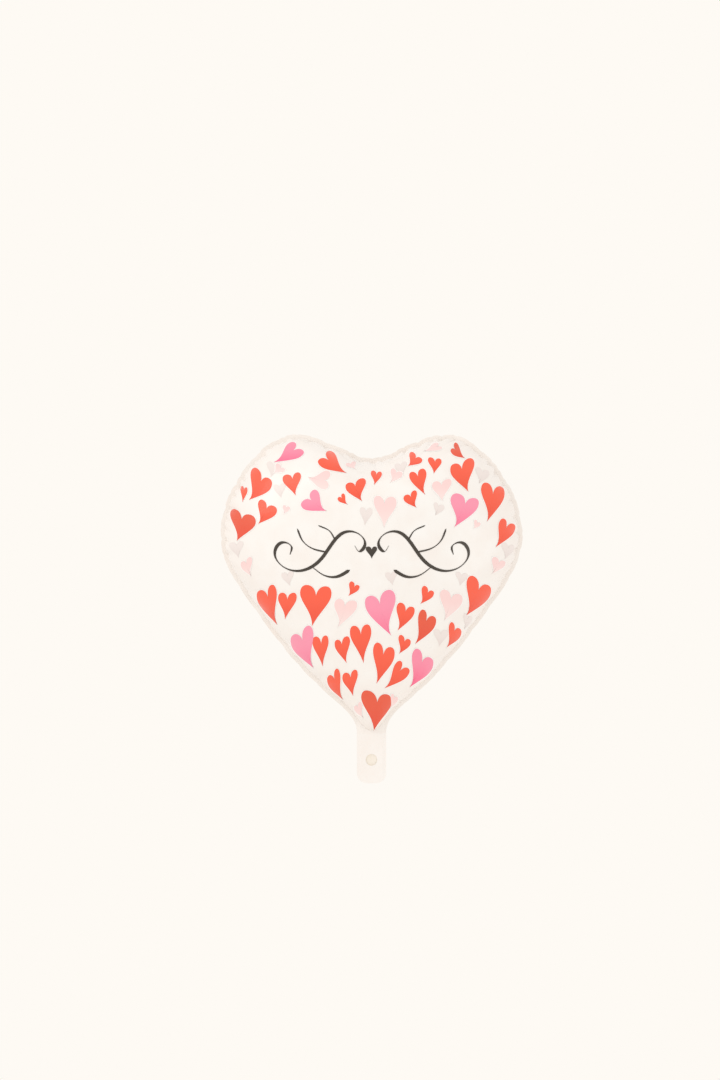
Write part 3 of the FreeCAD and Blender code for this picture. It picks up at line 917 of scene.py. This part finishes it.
def valve_film():
    """Milky polythene of the filling valve, with a faint amber tint that comes and goes from place
    to place.
    """
    material, tree, shader, _, crinkled = new_material("valve_film")
    tone = colour_mix(tree, crinkled.outputs["Haze"], linear((251, 246, 238)),
                      linear((246, 236, 218)))
    tree.links.new(tone, shader.inputs["Base Color"])
    tree.links.new(ranged(tree, crinkled.outputs["Haze"], 0.25, 0.45), shader.inputs["Roughness"])
    tree.links.new(bump(tree, crinkled.outputs["Height"], 0.0008, 0.3), shader.inputs["Normal"])
    return material


pearl, ink_finish, milky = pearl_film(), print_ink(), valve_film()
for piece, finish in ((front_skin, pearl), (back_skin, pearl),
                      (front_print, ink_finish), (back_print, ink_finish)):
    piece.data.materials.append(finish)
for name in ("valve_front", "valve_back", "valve_inlet_front", "valve_inlet_back"):
    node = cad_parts[name]
    node.data.materials.clear()
    node.data.materials.append(milky)
print("finishes:", pearl.name, ink_finish.name, milky.name)

# %% [markdown]
# ## What moves with what
#
# The film folds at the crease where the heart meets the tail, and each film runs across that crease.
# Each film is one flat sheet, cut before it was welded and blown up. Here each film's placement is
# baked into its points, the frame's film pieces that it stands in for are hidden, and the print is
# attached to the balloon's body.

# %% Body and hidden frame pieces
for skin, ink, name in ((front_skin, front_print, "front"), (back_skin, back_print, "back")):
    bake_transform(skin)
    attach(ink, "balloon")
    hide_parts(f"{name}_film", f"tail_{name}_film")

# %% [markdown]
# ## Stage, light and camera
#
# A white balloon on a pale ground shows only by its soft shadows. So the surroundings are bright
# and warm all round, a large lamp stands on the upper left, and a weak one fills from the right.


# %% Stage
FLOOR_RADIUS, FLOOR_HEIGHT, FLOOR_SIDES = 0.8, -0.62, 96


def floor_disc():
    """Pale round floor well below the balloon."""
    turn = np.linspace(0, 2 * math.pi, FLOOR_SIDES + 1)[:-1]
    ring = np.stack([np.cos(turn), np.sin(turn)], axis=1)
    rows = [0 * ring, FLOOR_RADIUS * ring]
    points = np.vstack([np.column_stack([r, np.full(len(r), FLOOR_HEIGHT)]) for r in rows]) / MM
    return new_piece("floor", points, grid_faces(2, FLOOR_SIDES), {})


floor = floor_disc()
floor_paint = bpy.data.materials.new("floor_paint")
floor_paint.use_nodes = True
floor_shader = floor_paint.node_tree.nodes["Principled BSDF"]
floor_shader.inputs["Base Color"].default_value = (0.97, 0.95, 0.92, 1)
floor_shader.inputs["Roughness"].default_value = 0.8
floor.data.materials.append(floor_paint)


# %% Light
def lamp(name, place, size, power, aim=(0, 0, 0.2)):
    """Square area lamp at a place, facing the aim."""
    data = bpy.data.lights.new(name, "AREA")
    data.size, data.energy, data.color = size, power, (1.0, 0.97, 0.94)
    holder = bpy.data.objects.new(name, data)
    bpy.context.scene.collection.objects.link(holder)
    holder.location = place
    holder.rotation_euler = (Vector(aim) - Vector(place)).to_track_quat("-Z", "Y").to_euler()


lamp("key_lamp", (-2.2, -1.5, 1.9), 1.8, 15)
lamp("fill_lamp", (2.4, -1.6, -0.2), 1.6, 5)

world = bpy.data.worlds.new("studio")
bpy.context.scene.world = world
world.use_nodes = True
tree = world.node_tree
seen, glow = tree.nodes["Background"], tree.nodes.new("ShaderNodeBackground")
seen.inputs["Color"].default_value = linear((254, 250, 244))
glow.inputs["Color"].default_value = linear((254, 250, 246))
glow.inputs["Strength"].default_value = 0.93
path, choose = tree.nodes.new("ShaderNodeLightPath"), tree.nodes.new("ShaderNodeMixShader")
tree.links.new(path.outputs["Is Camera Ray"], choose.inputs["Fac"])
tree.links.new(glow.outputs[0], choose.inputs[1])
tree.links.new(seen.outputs[0], choose.inputs[2])
tree.links.new(choose.outputs[0], tree.nodes["World Output"].inputs["Surface"])
bpy.context.scene.view_settings.view_transform = "Standard"

# %% Camera
CAMERA_AWAY, CAMERA_X, CAMERA_Z, FRAME_HEIGHT = 4.0, -0.0145, 0.244, 1.361
camera = bpy.data.objects.new("camera", bpy.data.cameras.new("camera"))
camera.data.sensor_width = 36
camera.data.lens = camera.data.sensor_width * CAMERA_AWAY / FRAME_HEIGHT
camera.location = (CAMERA_X, -CAMERA_AWAY, CAMERA_Z)
camera.rotation_euler = (math.radians(90), 0, 0)
bpy.context.scene.collection.objects.link(camera)
bpy.context.scene.camera = camera
print(f"lens {camera.data.lens:.1f} mm")
